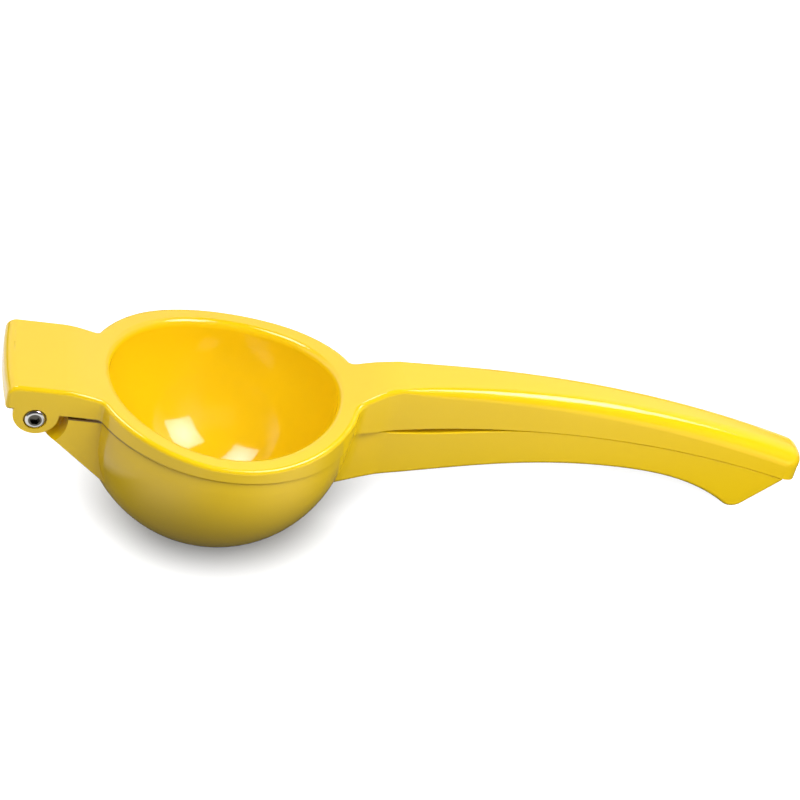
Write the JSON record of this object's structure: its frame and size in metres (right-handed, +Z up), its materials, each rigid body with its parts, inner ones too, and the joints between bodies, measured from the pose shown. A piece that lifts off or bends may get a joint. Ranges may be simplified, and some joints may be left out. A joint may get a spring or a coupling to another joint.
{
  "type": "hinged lemon squeezer",
  "caption": "Two-lever citrus press: a ringed plunger cup on a long handle, hinged over a drained bowl with its own handle; presses half a lemon.",
  "frame": {"origin": "on the table, under the middle of the closed tool's outline", "axes": "+X along the tool from the hinge to the handles, +Y across it, +Z up, as the closed tool lies on a table on its bowl and its toe"},
  "size_m": [0.2272, 0.076, 0.0601],
  "materials": {
    "enamel": "glossy lemon-yellow enamel over cast aluminium",
    "pivot_steel": "polished plating"
  },
  "bodies": {
    "bowl_arm": {"bowl_arm": "enamel"},
    "plunger_arm": {"plunger_arm": "enamel", "pivot_barrel": "pivot_steel", "pivot_screw": "pivot_steel"}
  },
  "joints": [
    {"name": "press_hinge", "type": "hinge", "parent": "bowl_arm", "child": "plunger_arm", "pos_m": [-0.10533, 0, 0.04945], "axis": [0, -1, 0], "range_deg": [0, 100]}
  ]
}
